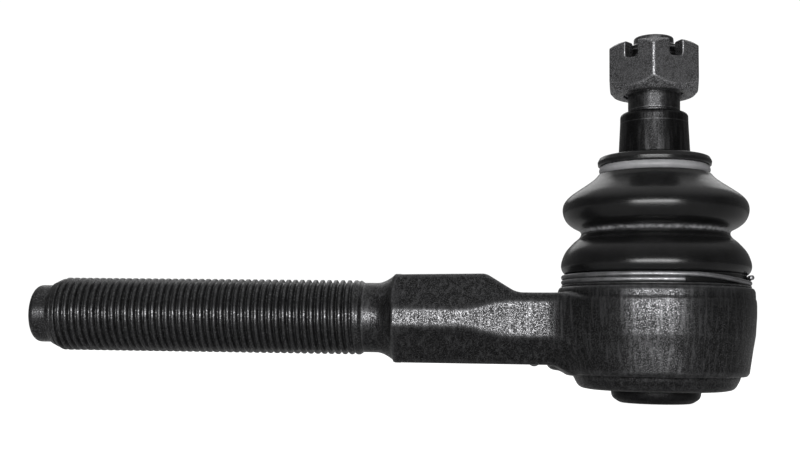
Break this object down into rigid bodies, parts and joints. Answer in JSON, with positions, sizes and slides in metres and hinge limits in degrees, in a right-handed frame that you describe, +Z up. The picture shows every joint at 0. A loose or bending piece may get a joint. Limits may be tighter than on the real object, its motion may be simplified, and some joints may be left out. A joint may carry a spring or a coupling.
{
  "type": "tie rod end",
  "caption": "Steering tie rod end: threaded shank, hexagonal wrench arm, forged ball housing, tapered ball stud with castle nut and rubber dust boot.",
  "frame": {"origin": "centre of the ball, on the axis of the threaded shank", "axes": "+Z up along the ball stud at rest, -X along the shank towards its tip, +Y to complete a right-handed frame"},
  "size_m": [0.1564, 0.0412, 0.078],
  "materials": {
    "forged_steel": "black satin coat over a forged grain",
    "plate_steel": "black satin coat on pressed sheet",
    "stud_steel": "dark phosphated, turned",
    "nut_steel": "dark phosphated, oiled",
    "spring_steel": "drawn wire",
    "boot_rubber": "smooth moulded, satin",
    "ring_grey": "satin",
    "seat_resin": "moulded"
  },
  "bodies": {
    "housing": {"housing": "forged_steel", "upper_seat": "seat_resin", "cover_plate": "plate_steel", "preload_spring": "spring_steel", "boot_clamp_wire": "spring_steel"},
    "seat": {"lower_seat": "seat_resin"},
    "boot": {"dust_boot": "boot_rubber"},
    "boot_ring": {"boot_top_ring": "ring_grey"},
    "stud": {"ball_stud": "stud_steel"},
    "nut": {"castle_nut": "nut_steel"}
  },
  "joints": [
    {"name": "seat_take_up", "type": "slide", "parent": "housing", "child": "seat", "axis": [0, 0, 1], "range_m": [-0.0004, 0], "stiffness_N_per_m": 400, "springref_m": 0.001, "deforming": ["preload_spring"]},
    {"name": "swing_along", "type": "hinge", "parent": "housing", "child": "boot", "pos_m": [0, 0, 0], "axis": [0, 1, 0], "range_deg": [-20, 20], "deforming": ["dust_boot"]},
    {"name": "swing_across", "type": "hinge", "parent": "boot", "child": "boot_ring", "pos_m": [0, 0, 0], "axis": [1, 0, 0], "range_deg": [-20, 20], "deforming": ["dust_boot"]},
    {"name": "stud_spin", "type": "hinge", "parent": "boot_ring", "child": "stud", "pos_m": [0, 0, 0], "axis": [0, 0, 1], "continuous": true},
    {"name": "nut_run", "type": "slide", "parent": "stud", "child": "nut", "axis": [0, 0, 1], "range_m": [-0.0035, 0.014]}
  ]
}
